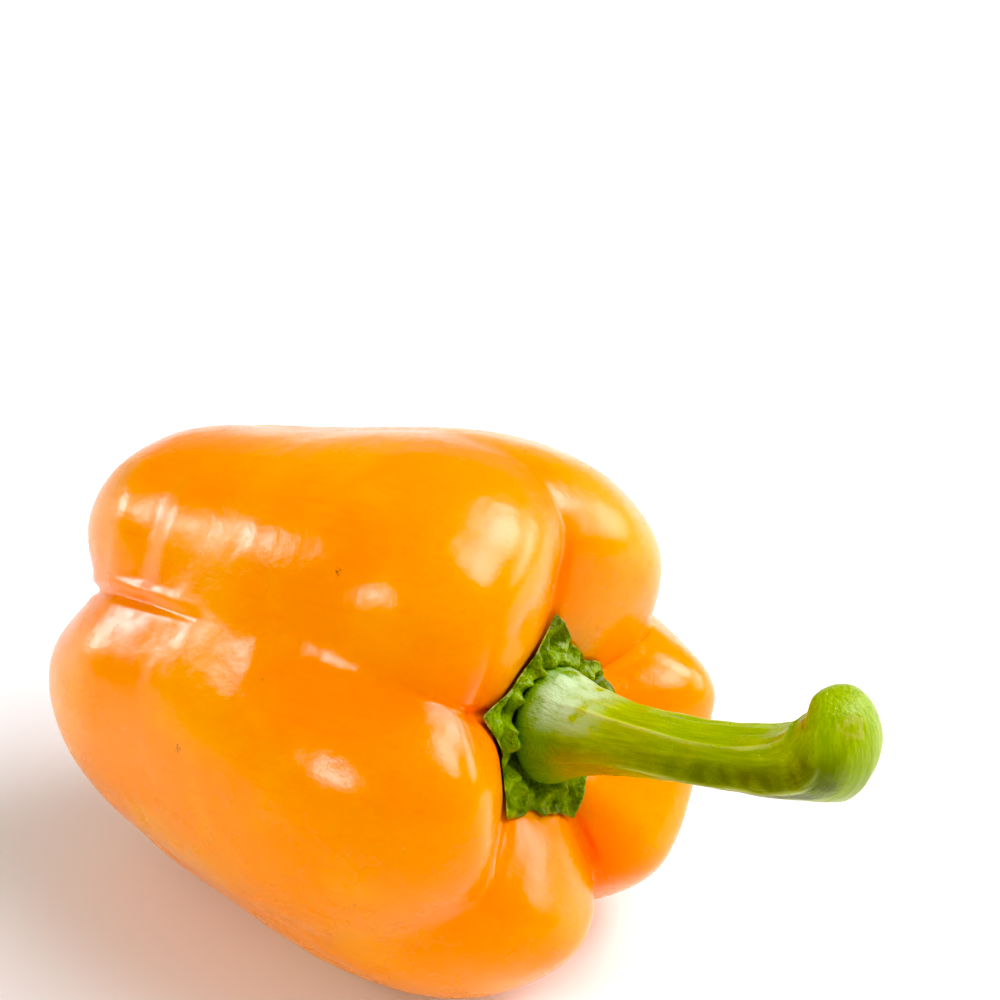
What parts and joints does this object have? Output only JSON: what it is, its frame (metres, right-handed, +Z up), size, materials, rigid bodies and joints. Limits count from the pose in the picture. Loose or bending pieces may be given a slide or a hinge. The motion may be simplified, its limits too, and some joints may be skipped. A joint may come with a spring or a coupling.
{
  "type": "bell pepper",
  "caption": "Whole bell pepper lying on its side: a lobed, creased, nearly round fruit with a leafy calyx in the pit at its shoulder and a long hooked stem.",
  "frame": {"origin": "on the ground under the middle of the object's box", "axes": "+Z up, +X from the blossom end towards the stem, with the fruit's own axis raised 10.5 degrees at the stem end"},
  "size_m": [0.1542, 0.0904, 0.0947],
  "materials": {
    "fruit_skin": "glossy waxy orange skin",
    "calyx_leaf": "wrinkled dark green leaf, satin",
    "stem_skin": "ribbed fresh green stem, satin"
  },
  "bodies": {
    "root": {"fruit": "fruit_skin", "calyx": "calyx_leaf", "stem": "stem_skin"}
  },
  "joints": []
}
